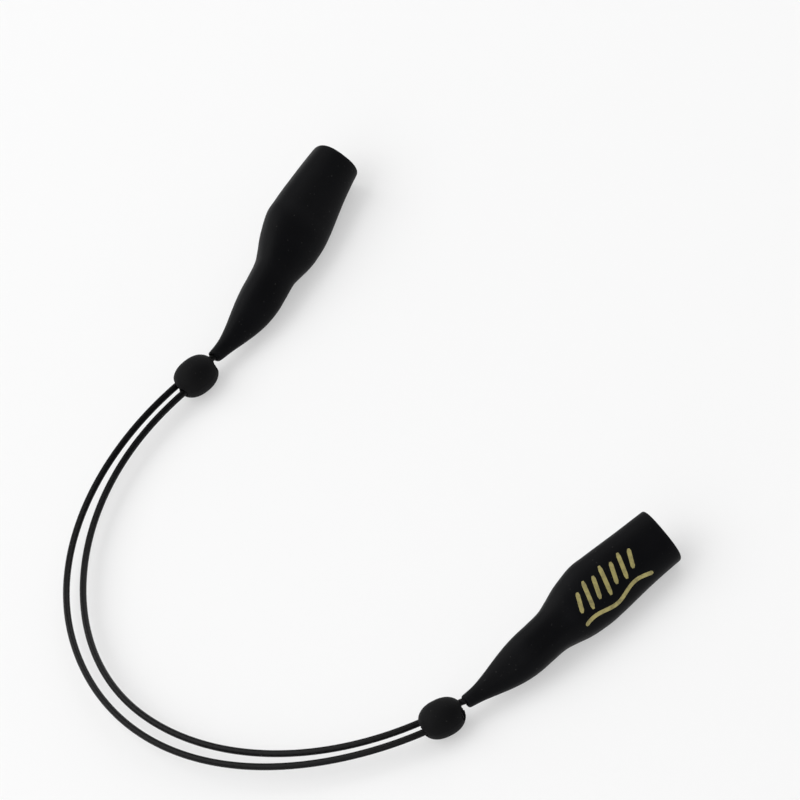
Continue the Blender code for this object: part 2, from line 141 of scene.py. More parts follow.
# ---------------------------------------------------------------- the retainer's layout
@dataclass(frozen=True)
class Layout:
    """The sizes that the solids were built with, and the lines that every piece follows."""

    loop_radius: float = 0.0560
    loop_half_span: float = 81.5
    loop_skew: float = -20.3
    loop_centre: Tuple[float, float] = (-0.0165, -0.0017)
    cable_diameter: float = 0.0013
    cable_spread: float = 0.0007
    gap: float = 0.0003
    wire_diameter: float = 0.0006
    bead_length: float = 0.0088
    bead_wall: float = 0.00073
    bead_web: float = 0.00015
    bush_wall: float = 0.0003
    bush_length: float = 0.0024
    bush_inset: float = 0.0015
    bead_plug_length: float = 0.0009
    bead_plug_inset: float = 0.0007
    crimp_length: float = 0.0031
    sleeve_length: float = 0.0477
    sleeve_width: float = 0.0129
    sleeve_wall: float = 0.0011
    sleeve_squareness: float = 2.5
    sleeve_nose_gap: float = 0.0007
    sleeve_nose_shift: float = 0.0010
    nose_length: float = 0.0224
    nose_wall: float = 0.00035
    ferrule_wall: float = 0.0006
    ferrule_length: float = 0.0050
    ferrule_inset: float = 0.0009
    plug_wall: float = 0.0006
    plug_neck: float = 0.0021
    widest: float = 0.62
    crest: float = 0.70
    opening_travel: float = 60.0
    heading: Dict[Side, float] = field(default_factory=lambda: {Side.LEFT: 31.9, Side.RIGHT: 8.6})
    roll: Dict[Side, float] = field(default_factory=lambda: {Side.LEFT: 48.0, Side.RIGHT: 36.0})
    bow: Dict[Side, float] = field(default_factory=lambda: {Side.LEFT: -0.0023, Side.RIGHT: -0.0010})
    mouth: Dict[Side, float] = field(default_factory=lambda: {Side.LEFT: 0.74, Side.RIGHT: 0.885})
    stations: Tuple[Tuple[float, float, float], ...] = (
        (0.00, 0.200, 0.200), (0.06, 0.258, 0.250), (0.12, 0.366, 0.330), (0.18, 0.486, 0.420),
        (0.24, 0.581, 0.510), (0.30, 0.630, 0.580), (0.36, 0.636, 0.600), (0.43, 0.655, 0.610),
        (0.48, 0.751, 0.640), (0.53, 0.867, 0.690), (0.58, 0.942, 0.710), (0.64, 0.995, 0.720),
        (0.70, 0.985, 0.720), (0.85, 0.960, 0.715), (1.00, 0.985, 0.700),
    )

    @property
    def bore_radius(self) -> float:
        """Radius of the hole that a cable slides through."""
        return self.cable_diameter / 2 + self.gap

    @property
    def bush_pocket(self) -> float:
        """Radius of the pocket round a grip bush."""
        return self.bore_radius + self.bush_wall + self.gap

    @property
    def cable_spacing(self) -> float:
        """Distance between the two cables' mid lines inside a bead."""
        return self.bore_radius + self.bead_web + self.bush_pocket

    @property
    def bead_diameter(self) -> float:
        """A bead's greatest diameter."""
        return self.cable_spacing + 2 * (self.bush_pocket + self.bead_wall)

    @property
    def cable_height(self) -> float:
        """Height of the loop above the table, which is a bead's radius."""
        return self.bead_diameter / 2

    @property
    def crimp_radius(self) -> float:
        """Outer radius of a bead's crimp."""
        return self.wire_diameter / 2 + 2 * self.gap

    @property
    def bead_cable_end(self) -> float:
        """Where a cable's coating ends inside the far bead, from its centre towards the sleeve."""
        plug_start = self.bead_length / 2 - self.bead_plug_inset - self.bead_plug_length
        return plug_start - 2 * self.gap - self.crimp_length - self.gap

    @property
    def pocket_radius(self) -> float:
        """Radius of the anchor plug's pocket in a sleeve's nose."""
        ferrule = self.wire_diameter / 2 + self.gap + self.ferrule_wall
        return ferrule + self.gap + self.plug_wall + self.gap

    @property
    def anchor_cable_end(self) -> float:
        """Where a cable's coating ends along the plug's pocket."""
        return 2 * self.gap + self.plug_neck

    @property
    def pocket_length(self) -> float:
        """Length of the anchor plug's pocket."""
        ferrule_end = self.anchor_cable_end + 2 * self.gap + self.ferrule_length
        return ferrule_end + self.ferrule_inset + self.gap

    @property
    def socket_start(self) -> float:
        """Share of the sleeve at which the socket for the temple begins."""
        return self.nose_length / self.sleeve_length

    @property
    def pocket_start(self) -> float:
        """Share of the sleeve at which the anchor plug's pocket begins."""
        return (self.nose_length - self.pocket_length) / self.sleeve_length

    @property
    def loop_frame(self) -> Matrix:
        """The turn and shift from the loop's own frame to the model's."""
        turn = Matrix.Rotation(math.radians(self.loop_skew), 4, "Z")
        return Matrix.Translation((*self.loop_centre, 0.0)) @ turn

    def bead_angle(self, side: Side) -> float:
        """Where a side's bead stands on the loop, in degrees from the loop's +X."""
        return side.mirror * (180.0 - self.loop_half_span)

    def on_loop(self, angle: float, offset: float = 0.0) -> Vector:
        """A point of the loop in its own frame.

        Args:
            angle: Degrees from the loop's +X.
            offset: Distance outwards from the mid line.

        Returns:
            The point, at the cables' height.
        """
        turn = math.radians(angle)
        reach = self.loop_radius + offset
        return Vector((reach * math.cos(turn), reach * math.sin(turn), self.cable_height))

    def along(self, side: Side) -> Vector:
        """The unit direction from the loop through a side's bead to its sleeve."""
        turn = math.radians(self.bead_angle(side))
        return side.mirror * Vector((math.sin(turn), -math.cos(turn), 0.0))

    def cable_offset(self, side: Side) -> float:
        """How far outside the mid line a side's cable runs."""
        return side.mirror * self.cable_spacing / 2

    def spread(self, side: Side, swept: float) -> float:
        """How far a cable bows away from its twin at an angle swept from its own bead.

        Args:
            side: Which side.
            swept: Degrees along the loop from the bead beside the cable's own sleeve.

        Returns:
            The distance outwards from the loop in metres, 0 where the cable can slide through a bead.
        """
        start = self.opening_travel + math.degrees(self.bead_length / 2 / self.loop_radius) + 2.0
        end = 2 * self.loop_half_span - 12.0
        if not start < swept < end:
            return 0.0
        share = (swept - start) / (end - start)
        return side.mirror * self.cable_spread * math.sin(math.pi * share) ** 2

    def bead_frame(self, side: Side, offset: float = 0.0) -> Matrix:
        """A frame at a bead's centre, its Z towards the sleeve and its X outwards from the loop.

        Args:
            side: Which side's bead.
            offset: Distance of the frame outwards from the bead's middle.

        Returns:
            The frame in the model's own axes.
        """
        angle = self.bead_angle(side)
        axis = self.along(side)
        outward = Vector((math.cos(math.radians(angle)), math.sin(math.radians(angle)), 0.0))
        turn = Matrix((outward, axis.cross(outward), axis)).transposed().to_4x4()
        return self.loop_frame @ Matrix.Translation(self.on_loop(angle, offset)) @ turn

    def station(self, side: Side, share: float) -> Tuple[float, float]:
        """A sleeve's width and thickness at a share of its length.

        Args:
            side: Which sleeve.
            share: 0 at the nose and 1 at the mouth.

        Returns:
            Width and thickness in metres.
        """
        rows = self.stations
        share = min(max(share, 0.0), 1.0)
        reach = 1.25 - self.widest
        eased = smoothstep((share - self.widest) / reach) / smoothstep((1.0 - self.widest) / reach)
        taper = 1.0 - (1.0 - self.mouth[side]) * eased
        index = max(i for i in range(len(rows) - 1) if rows[i][0] <= share)
        low, high = rows[index], rows[index + 1]
        before = rows[max(index - 1, 0)]
        after = rows[min(index + 2, len(rows) - 1)]
        step = high[0] - low[0]
        local = (share - low[0]) / step
        square = local * local
        cube = square * local
        sizes = []
        for column in (1, 2):
            slope_low = (high[column] - before[column]) / (high[0] - before[0]) * step
            slope_high = (after[column] - low[column]) / (after[0] - low[0]) * step
            sizes.append(
                (2 * cube - 3 * square + 1) * low[column] + (cube - 2 * square + local) * slope_low
                + (3 * square - 2 * cube) * high[column] + (cube - square) * slope_high
            )
        least = 2 * (self.bore_radius + self.nose_wall)
        return max(sizes[0] * self.sleeve_width * taper, least), max(sizes[1] * self.sleeve_width, least)

    def half_height(self, side: Side, share: float) -> float:
        """How far a sleeve's rolled section reaches below its middle.

        Args:
            side: Which sleeve.
            share: 0 at the nose and 1 at the mouth.

        Returns:
            The distance in metres.
        """
        width, thick = self.station(side, share)
        roll = math.radians(self.roll[side])
        power = self.sleeve_squareness / (self.sleeve_squareness - 1.0)
        across = (width / 2 * abs(math.sin(roll))) ** power
        return (across + (thick / 2 * abs(math.cos(roll))) ** power) ** (1.0 / power)

    def spine(self, side: Side, share: float) -> Vector:
        """The middle of a sleeve in its own frame: X from nose to mouth, Y to its left, Z up.

        Args:
            side: Which sleeve.
            share: 0 at the nose and 1 at the mouth.

        Returns:
            The point, level with the loop at the nose. The sleeve rests on the table from its crest on.
        """
        bend = 6.75 * share * (1.0 - share) ** 2
        rise = self.half_height(side, self.crest) - self.cable_height
        lift = max(self.cable_height + rise * smoothstep(share / self.crest), self.half_height(side, share))
        return Vector((share * self.sleeve_length, self.bow[side] * bend, lift))

    def sleeve_frame(self, side: Side) -> Matrix:
        """The frame at the foot of a sleeve's nose, its X towards the mouth.

        Args:
            side: Which sleeve.

        Returns:
            The frame on the table, in the model's own axes.
        """
        reach = self.along(side) * (self.bead_length / 2 + self.sleeve_nose_gap)
        tip = self.on_loop(self.bead_angle(side), side.mirror * self.sleeve_nose_shift) + reach
        turn = Matrix.Rotation(math.radians(self.heading[side]), 4, "Z")
        return self.loop_frame @ Matrix.Translation((tip.x, tip.y, 0.0)) @ turn

    def plug_frame(self, side: Side) -> Matrix:
        """A frame at the nose end of the plug's pocket, its Z towards the mouth, in the sleeve's frame.

        Args:
            side: Which sleeve.

        Returns:
            The frame, in the sleeve's own axes.
        """
        start = self.spine(side, self.pocket_start)
        end = self.spine(side, self.socket_start)
        turn = (end - start).to_track_quat("Z", "Y").to_matrix().to_4x4()
        return Matrix.Translation(start) @ turn

    def cable_run(self, side: Side) -> List[Vector]:
        """The whole middle line of a cable, from its anchor in the nose round to the far bead.

        Args:
            side: The side whose sleeve holds the cable's anchor.

        Returns:
            Points in the model's frame, about a millimetre apart.
        """
        sleeve = self.sleeve_frame(side)
        loop = self.loop_frame
        edge = math.degrees(self.bead_length / 2 / self.loop_radius)
        start = self.bead_angle(side) - side.mirror * edge
        leave = self.on_loop(start, self.cable_offset(side))
        inside = [loop.inverted() @ (sleeve @ self.spine(side, share))
                  for share in spaced(0.03, self.pocket_start, 5)]
        slope = (inside[1] - inside[0]).normalized()
        reach = (inside[0] - leave).length
        bend = hermite(leave, self.along(side) * reach, inside[0], slope * reach, 9)
        anchor = sleeve @ (self.plug_frame(side) @ Vector((0.0, 0.0, self.anchor_cable_end)))
        stop = 2 * self.loop_half_span + math.degrees(self.bead_cable_end / self.loop_radius)
        arc = [
            self.on_loop(self.bead_angle(side) + side.mirror * swept,
                         self.cable_offset(side) + self.spread(side, swept))
            for swept in spaced(-edge, stop, 170)[1:]
        ]
        nose = [loop @ point for point in (bend + inside[1:])]
        return [anchor] + nose[::-1] + [loop @ point for point in arc]


# ---------------------------------------------------------------- mesh and material tools
class MeshKit:
    """Turns rows of points and cutters into finished mesh objects."""

    @staticmethod
    def rings(name: str, rings: np.ndarray, closed: bool = False) -> bpy.types.Object:
        """A skin through rings of points.

        Args:
            name: The object's name.
            rings: An array of rings by points by 3.
            closed: Whether the last ring joins the first. Otherwise both ends are capped.

        Returns:
            A new object with quads, smooth shading and a UV map of metres along and round.
        """
        count, sides = rings.shape[:2]
        mesh = bpy.data.meshes.new(name)
        faces: List[Tuple[int, ...]] = []
        last = count if closed else count - 1
        for row in range(last):
            after = (row + 1) % count
            for index in range(sides):
                nearby = (index + 1) % sides
                faces.append((row * sides + index, row * sides + nearby,
                              after * sides + nearby, after * sides + index))
        if not closed:
            faces.append(tuple(range(sides)))
            faces.append(tuple((count - 1) * sides + index for index in range(sides)))
        mesh.from_pydata(rings.reshape(-1, 3).tolist(), [], faces)
        lengths = np.linalg.norm(np.diff(rings.mean(axis=1), axis=0), axis=1)
        reach = np.concatenate([[0.0], np.cumsum(lengths), [lengths.sum()]])
        layer = mesh.uv_layers.new(name="run")
        for face_index, face in enumerate(faces[:last * sides]):
            row, index = divmod(face_index, sides)
            loop_start = mesh.polygons[face_index].loop_start
            corners = ((row, index), (row, index + 1), (row + 1, index + 1), (row + 1, index))
            for step, (ring_index, side_index) in enumerate(corners):
                layer.data[loop_start + step].uv = (float(reach[ring_index]), side_index / sides)
        shape = bmesh.new()
        shape.from_mesh(mesh)
        bmesh.ops.recalc_face_normals(shape, faces=shape.faces)
        shape.to_mesh(mesh)
        shape.free()
        return MeshKit.link(name, mesh)

    @staticmethod
    def link(name: str, mesh: bpy.types.Mesh) -> bpy.types.Object:
        """Put a mesh into the scene as a smooth-shaded object.

        Args:
            name: The object's name.
            mesh: Its mesh.

        Returns:
            The new object.
        """
        mesh.shade_smooth()
        mesh.set_sharp_from_angle(angle=SHARP_EDGE)
        made = bpy.data.objects.new(name, mesh)
        bpy.context.scene.collection.objects.link(made)
        return made

    @staticmethod
    def turned(name: str, profile: Sequence[Tuple[float, float]], matrix: Matrix,
               steps: int = 48) -> bpy.types.Object:
        """A closed shape turned about Z from (radius, height) points, then placed by a matrix.

        Args:
            name: The object's name.
            profile: The points, from one end of the axis to the other.
            matrix: Where the shape's own frame goes.
            steps: How many steps a full turn takes.

        Returns:
            The new object.
        """
        mesh = bpy.data.meshes.new(name)
        shape = bmesh.new()
        points = [shape.verts.new((radius, 0.0, height)) for radius, height in profile]
        for first, second in zip(points, points[1:]):
            shape.edges.new((first, second))
        bmesh.ops.spin(shape, geom=shape.verts[:] + shape.edges[:], axis=(0, 0, 1), cent=(0, 0, 0),
                       steps=steps, angle=2 * math.pi, use_merge=True)
        bmesh.ops.remove_doubles(shape, verts=shape.verts, dist=1e-7)
        bmesh.ops.recalc_face_normals(shape, faces=shape.faces)
        bmesh.ops.transform(shape, matrix=matrix, verts=shape.verts)
        shape.to_mesh(mesh)
        shape.free()
        return MeshKit.link(name, mesh)

    @staticmethod
    def subtract(target: bpy.types.Object, cutters: Iterable[bpy.types.Object]) -> None:
        """Cut closed shapes out of a target, remove them, and weld the slivers that the cuts leave.

        The cut is made in millimetres, because the solver isn't steady on shapes of a few thousandths.

        Args:
            target: The object that is cut, whose mesh is replaced by the result.
            cutters: The shapes taken out of it.
        """
        tools = list(cutters)
        for piece in (target, *tools):
            piece.data.transform(Matrix.Scale(MILLIMETRES, 4))
        for tool in tools:
            modifier = target.modifiers.new(tool.name, "BOOLEAN")
            modifier.operation = "DIFFERENCE"
            modifier.solver = "EXACT"
            modifier.object = tool
        graph = bpy.context.evaluated_depsgraph_get()
        result = bpy.data.meshes.new_from_object(target.evaluated_get(graph))
        target.modifiers.clear()
        target.data = result
        shape = bmesh.new()
        shape.from_mesh(result)
        bmesh.ops.remove_doubles(shape, verts=shape.verts, dist=WELD * MILLIMETRES)
        bmesh.ops.dissolve_degenerate(shape, edges=shape.edges, dist=WELD * MILLIMETRES)
        bmesh.ops.triangulate(shape, faces=[face for face in shape.faces if len(face.verts) > 4])
        bmesh.ops.dissolve_degenerate(shape, edges=shape.edges, dist=WELD * MILLIMETRES)
        shape.to_mesh(result)
        shape.free()
        result.transform(Matrix.Scale(1 / MILLIMETRES, 4))
        result.shade_smooth()
        result.set_sharp_from_angle(angle=SHARP_EDGE)
        for tool in tools:
            bpy.data.objects.remove(tool, do_unlink=True)


class Nodes:
    """A short way to write a material's node graph."""

    def __init__(self, name: str) -> None:
        """Start a material with one Principled shader.

        Args:
            name: The material's name.
        """
        self.material = bpy.data.materials.new(name)
        self.material.use_nodes = True
        self.tree = self.material.node_tree
        self.shader = self.tree.nodes["Principled BSDF"]

    def add(self, kind: str, **settings: object) -> bpy.types.Node:
        """Add a node and set its properties.

        Args:
            kind: The node's type.
            settings: Its properties by name.

        Returns:
            The node.
        """
        node = self.tree.nodes.new(kind)
        for key, value in settings.items():
            setattr(node, key, value)
        return node

    def join(self, output: bpy.types.NodeSocket, target: bpy.types.NodeSocket) -> None:
        """Link one socket to another."""
        self.tree.links.new(output, target)

    def place(self) -> bpy.types.NodeSocket:
        """The object's own coordinates."""
        return self.add("ShaderNodeTexCoord").outputs["Object"]

    def noise(self, scale: float, detail: float = 3.0, roughness: float = 0.5,
              where: Optional[bpy.types.NodeSocket] = None) -> bpy.types.NodeSocket:
        """A noise field, in features a metre.

        Args:
            scale: How many features a metre.
            detail: How many finer octaves.
            roughness: How strong the finer octaves are.
            where: The coordinates, the object's own if left out.

        Returns:
            The field, from 0 to 1.
        """
        node = self.add("ShaderNodeTexNoise")
        node.inputs["Scale"].default_value = scale
        node.inputs["Detail"].default_value = detail
        node.inputs["Roughness"].default_value = roughness
        self.join(where or self.place(), node.inputs["Vector"])
        return node.outputs["Fac"]

    def spread(self, value: bpy.types.NodeSocket, low: float, high: float, to_low: float,
               to_high: float) -> bpy.types.NodeSocket:
        """Map a span of values onto another.

        Args:
            value: The value.
            low: Where its span begins.
            high: Where its span ends.
            to_low: What the beginning becomes.
            to_high: What the end becomes.

        Returns:
            The mapped value, held inside the new span.
        """
        node = self.add("ShaderNodeMapRange", clamp=True)
        for key, number in (("From Min", low), ("From Max", high), ("To Min", to_low), ("To Max", to_high)):
            node.inputs[key].default_value = number
        self.join(value, node.inputs["Value"])
        return node.outputs["Result"]

    def mix(self, share: bpy.types.NodeSocket, first: Sequence[float],
            second: Sequence[float]) -> bpy.types.NodeSocket:
        """Blend two colours by a share.

        Args:
            share: How much of the second.
            first: The first colour.
            second: The second colour.

        Returns:
            The blend.
        """
        node = self.add("ShaderNodeMix", data_type="RGBA")
        node.inputs["A"].default_value = (*first, 1.0)
        node.inputs["B"].default_value = (*second, 1.0)
        self.join(share, node.inputs["Factor"])
        return node.outputs["Result"]

    def layer(self, share: bpy.types.NodeSocket, base: bpy.types.NodeSocket,
              second: Sequence[float]) -> bpy.types.NodeSocket:
        """Blend a colour over a linked colour by a share.

        Args:
            share: How much of the second.
            base: The linked colour.
            second: The colour over it.

        Returns:
            The blend.
        """
        node = self.add("ShaderNodeMix", data_type="RGBA")
        node.inputs["B"].default_value = (*second, 1.0)
        self.join(base, node.inputs["A"])
        self.join(share, node.inputs["Factor"])
        return node.outputs["Result"]

    def math(self, operation: str, first: bpy.types.NodeSocket,
             second: object = 0.0) -> bpy.types.NodeSocket:
        """One arithmetic step with a socket and a socket or number.

        Args:
            operation: The step's name.
            first: The first value.
            second: The second value or number.

        Returns:
            The result.
        """
        node = self.add("ShaderNodeMath", operation=operation)
        self.join(first, node.inputs[0])
        if isinstance(second, (int, float)):
            node.inputs[1].default_value = float(second)
        else:
            self.join(second, node.inputs[1])
        return node.outputs[0]

    def attribute(self, name: str) -> bpy.types.NodeSocket:
        """A number painted on the mesh under a name."""
        return self.add("ShaderNodeAttribute", attribute_name=name).outputs["Fac"]

    def bump(self, height: bpy.types.NodeSocket, distance: float, strength: float = 1.0,
             before: Optional[bpy.types.NodeSocket] = None) -> bpy.types.NodeSocket:
        """A bump from a height field, over an earlier bump if there is one.

        Args:
            height: The height field.
            distance: The height of a full step, in metres.
            strength: How much of it shows.
            before: An earlier bump's normal.

        Returns:
            The bent normal.
        """
        node = self.add("ShaderNodeBump")
        node.inputs["Strength"].default_value = strength
        node.inputs["Distance"].default_value = distance
        self.join(height, node.inputs["Height"])
        if before is not None:
            self.join(before, node.inputs["Normal"])
        return node.outputs["Normal"]

    def finish(self, colour: bpy.types.NodeSocket, roughness: bpy.types.NodeSocket,
               normal: bpy.types.NodeSocket, **constants: float) -> bpy.types.Material:
        """Wire colour, roughness and normal into the shader and set its plain values.

        Args:
            colour: The base colour.
            roughness: The roughness.
            normal: The normal.
            constants: The shader's other values, with underscores for the spaces in their names.

        Returns:
            The finished material.
        """
        self.join(colour, self.shader.inputs["Base Color"])
        self.join(roughness, self.shader.inputs["Roughness"])
        self.join(normal, self.shader.inputs["Normal"])
        for key, value in constants.items():
            self.shader.inputs[key.replace("_", " ")].default_value = value
        return self.material


# ---------------------------------------------------------------- finishes
@dataclass(frozen=True)
class RubberFinish:
    """Moulded elastomer: a fine grain from the mould, faint mottling, edges lightened by rubbing with a
    painted rim highlight mixed in, and a little lint.
    """

    name: str
    colour: Tuple[float, float, float]
    mottled: Tuple[float, float, float]
    worn_and_highlight: Tuple[float, float, float]
    roughness: Tuple[float, float]
    grain_scale: float
    grain_depth: float
    specular: float
    lint: float = 1.0

    def build(self) -> bpy.types.Material:
        """Make the material.

        Returns:
            The finished material.
        """
        kit = Nodes(self.name)
        where = kit.place()
        flow = kit.noise(140.0, 4.0, 0.55, where)
        cloud = kit.noise(34.0, 2.0, 0.5, where)
        grain = kit.noise(self.grain_scale, 3.0, 0.65, where)
        pores = kit.noise(self.grain_scale * 0.42, 1.0, 0.5, where)
        base = kit.mix(kit.spread(flow, 0.35, 0.68, 0.0, 1.0), self.colour, self.mottled)
        # Lighter colour on rims, nose and bead ends: partly real rubbed wear, partly a painted rim
        # highlight.
        wear_and_highlight = kit.attribute("wear_and_highlight")
        broken = kit.math("MULTIPLY", wear_and_highlight, kit.spread(pores, 0.38, 0.62, 0.25, 1.0))
        coloured = kit.layer(broken, base, self.worn_and_highlight)
        specks = kit.spread(kit.noise(2300.0, 0.0, 0.5, where), 0.80, 0.84, 0.0, 0.10 * self.lint)
        coloured = kit.layer(specks, coloured, (0.16, 0.155, 0.15))
        low, high = self.roughness
        rough = kit.spread(cloud, 0.30, 0.70, low, high)
        rough = kit.math("ADD", rough, kit.spread(grain, 0.30, 0.70, -0.035, 0.035))
        rough = kit.math("ADD", rough, kit.math("MULTIPLY", wear_and_highlight, -0.07))
        fine = kit.bump(grain, self.grain_depth, 0.55)
        normal = kit.bump(pores, self.grain_depth * 1.6, 0.35, fine)
        return kit.finish(coloured, rough, normal, Specular_IOR_Level=self.specular)


@dataclass(frozen=True)
class CoatingFinish:
    """Smooth glossy coating drawn over wire rope, whose lay shows as a faint helical swell."""

    name: str = "gloss_black_cable_coating"
    colour: Tuple[float, float, float] = (0.0016, 0.0016, 0.0019)
    scuffed: Tuple[float, float, float] = (0.0050, 0.0050, 0.0056)
    lay_length: float = 0.0092
    strands: int = 6

    def build(self) -> bpy.types.Material:
        """Make the material.

        Returns:
            The finished material.
        """
        kit = Nodes(self.name)
        where = kit.place()
        run = kit.add("ShaderNodeUVMap", uv_map="run").outputs["UV"]
        parts = kit.add("ShaderNodeSeparateXYZ")
        kit.join(run, parts.inputs[0])
        turns = kit.math("MULTIPLY", parts.outputs["X"], 2 * math.pi * self.strands / self.lay_length)
        round_it = kit.math("MULTIPLY", parts.outputs["Y"], 2 * math.pi * self.strands)
        swell = kit.math("SINE", kit.math("ADD", turns, round_it))
        scuff = kit.spread(kit.noise(620.0, 4.0, 0.6, where), 0.56, 0.74, 0.0, 1.0)
        streak = kit.noise(95.0, 3.0, 0.5, where)
        colour = kit.mix(kit.math("MULTIPLY", scuff, 0.6), self.colour, self.scuffed)
        rough = kit.math("ADD", kit.spread(streak, 0.3, 0.7, 0.20, 0.30), kit.math("MULTIPLY", scuff, 0.14))
        lay = kit.bump(swell, 0.000012, 0.5)
        normal = kit.bump(kit.noise(1900.0, 2.0, 0.5, where), 0.000008, 0.35, lay)
        return kit.finish(colour, rough, normal, Specular_IOR_Level=0.10, Coat_Weight=0.04,
                          Coat_Roughness=0.10)


@dataclass(frozen=True)
class PrintFinish:
    """Pad-printed olive-gold ink: slightly metallic, a touch uneven, with pinholes."""

    name: str = "olive_gold_print"
    colour: Tuple[float, float, float] = (0.400, 0.350, 0.130)
    thin: Tuple[float, float, float] = (0.230, 0.200, 0.085)

    def build(self) -> bpy.types.Material:
        """Make the material.

        Returns:
            The finished material.
        """
        kit = Nodes(self.name)
        where = kit.place()
        patchy = kit.spread(kit.noise(900.0, 4.0, 0.6, where), 0.42, 0.66, 0.0, 1.0)
        colour = kit.mix(patchy, self.colour, self.thin)
        pinholes = kit.spread(kit.noise(5200.0, 1.0, 0.5, where), 0.70, 0.74, 0.0, 0.8)
        colour = kit.layer(pinholes, colour, (0.012, 0.012, 0.014))
        rough = kit.spread(patchy, 0.0, 1.0, 0.42, 0.58)
        normal = kit.bump(kit.noise(2600.0, 2.0, 0.5, where), 0.000010, 0.4)
        return kit.finish(colour, rough, normal, Metallic=0.35, Specular_IOR_Level=0.5)


@dataclass(frozen=True)
class MouldedFinish:
    """Moulded plastic or silicone: cloudy colour, flow marks and a soft bump."""

    name: str
    colour: Tuple[float, float, float]
    cloudy: Tuple[float, float, float]
    roughness: Tuple[float, float]
    clarity: float = 0.0

    def build(self) -> bpy.types.Material:
        """Make the material.

        Returns:
            The finished material.
        """
        kit = Nodes(self.name)
        where = kit.place()
        flow = kit.noise(700.0, 4.0, 0.6, where)
        colour = kit.mix(kit.spread(flow, 0.35, 0.65, 0.0, 1.0), self.colour, self.cloudy)
        rough = kit.spread(kit.noise(1500.0, 2.0, 0.5, where), 0.3, 0.7, *self.roughness)
        normal = kit.bump(kit.noise(5200.0, 2.0, 0.5, where), 0.000012, 0.4)
        return kit.finish(colour, rough, normal, Subsurface_Weight=self.clarity,
                          Specular_IOR_Level=0.45)


@dataclass(frozen=True)
class RopeFinish:
    """Bare stainless wire rope: helical strands with bright crowns, and painted shade that darkens the
    valleys between them.
    """

    name: str = "stainless_wire_rope"
    crown: Tuple[float, float, float] = (0.62, 0.63, 0.64)
    valley_shade: Tuple[float, float, float] = (0.14, 0.14, 0.145)

    def build(self) -> bpy.types.Material:
        """Make the material.

        Returns:
            The finished material.
        """
        kit = Nodes(self.name)
        where = kit.place()
        wave = kit.add("ShaderNodeTexWave", wave_type="BANDS", bands_direction="DIAGONAL")
        wave.inputs["Scale"].default_value = 900.0
        wave.inputs["Distortion"].default_value = 0.6
        kit.join(where, wave.inputs["Vector"])
        strands = wave.outputs["Fac"]
        # The darker colour in the valleys is painted shade between the strands.
        colour = kit.mix(kit.spread(strands, 0.15, 0.6, 0.0, 1.0), self.valley_shade, self.crown)
        rough = kit.spread(kit.noise(4200.0, 2.0, 0.5, where), 0.3, 0.7, 0.24, 0.42)
        return kit.finish(colour, rough, kit.bump(strands, 0.00006, 0.7), Metallic=1.0)


@dataclass(frozen=True)
class CrimpFinish:
    """Tinned crimp metal: drawn brightness with press scuffs and dull tin blooms."""

    name: str = "tinned_crimp_metal"
    bright: Tuple[float, float, float] = (0.66, 0.66, 0.64)
    dull: Tuple[float, float, float] = (0.42, 0.42, 0.41)

    def build(self) -> bpy.types.Material:
        """Make the material.

        Returns:
            The finished material.
        """
        kit = Nodes(self.name)
        where = kit.place()
        bloom = kit.spread(kit.noise(800.0, 4.0, 0.6, where), 0.4, 0.65, 0.0, 1.0)
        colour = kit.mix(bloom, self.bright, self.dull)
        rough = kit.spread(bloom, 0.0, 1.0, 0.26, 0.48)
        normal = kit.bump(kit.noise(3600.0, 3.0, 0.6, where), 0.00002, 0.5)
        return kit.finish(colour, rough, normal, Metallic=1.0)


class Palette:
    """Builds each finish once and hands it out by slot."""

    def __init__(self) -> None:
        """Make every finish."""
        self.print = PrintFinish().build()
        self.by_slot: Dict[Slot, bpy.types.Material] = {
            Slot.SLEEVE_RUBBER: RubberFinish(
                name="satin_black_sleeve_rubber", colour=(0.0011, 0.0012, 0.0018),
                mottled=(0.0019, 0.0020, 0.0028), worn_and_highlight=(0.0060, 0.0062, 0.0074),
                roughness=(0.47, 0.57), grain_scale=3400.0, grain_depth=0.000020, specular=0.075,
            ).build(),
            Slot.BEAD_RUBBER: RubberFinish(
                name="matt_charcoal_bead_rubber", colour=(0.0022, 0.0022, 0.0026),
                mottled=(0.0036, 0.0036, 0.0041), worn_and_highlight=(0.0090, 0.0090, 0.0098),
                roughness=(0.56, 0.68), grain_scale=4200.0, grain_depth=0.000026, specular=0.085,
                lint=0.7,
            ).build(),
            Slot.CABLE_COATING: CoatingFinish().build(),
            Slot.PLUG_NYLON: MouldedFinish(
                name="grey_moulded_nylon", colour=(0.20, 0.20, 0.21), cloudy=(0.26, 0.26, 0.265),
                roughness=(0.42, 0.58),
            ).build(),
            Slot.BUSH_SILICONE: MouldedFinish(
                name="smoke_silicone", colour=(0.060, 0.060, 0.068), cloudy=(0.095, 0.095, 0.105),
                roughness=(0.34, 0.50), clarity=0.2,
            ).build(),
            Slot.WIRE_STEEL: RopeFinish().build(),
            Slot.CRIMP_METAL: CrimpFinish().build(),
        }

    def dress(self, piece: bpy.types.Object, slot: Slot) -> None:
        """Give a new piece its slot's finish as its only material.

        Args:
            piece: The piece.
            slot: Its slot.
        """
        piece.data.materials.clear()
        piece.data.materials.append(self.by_slot[slot])


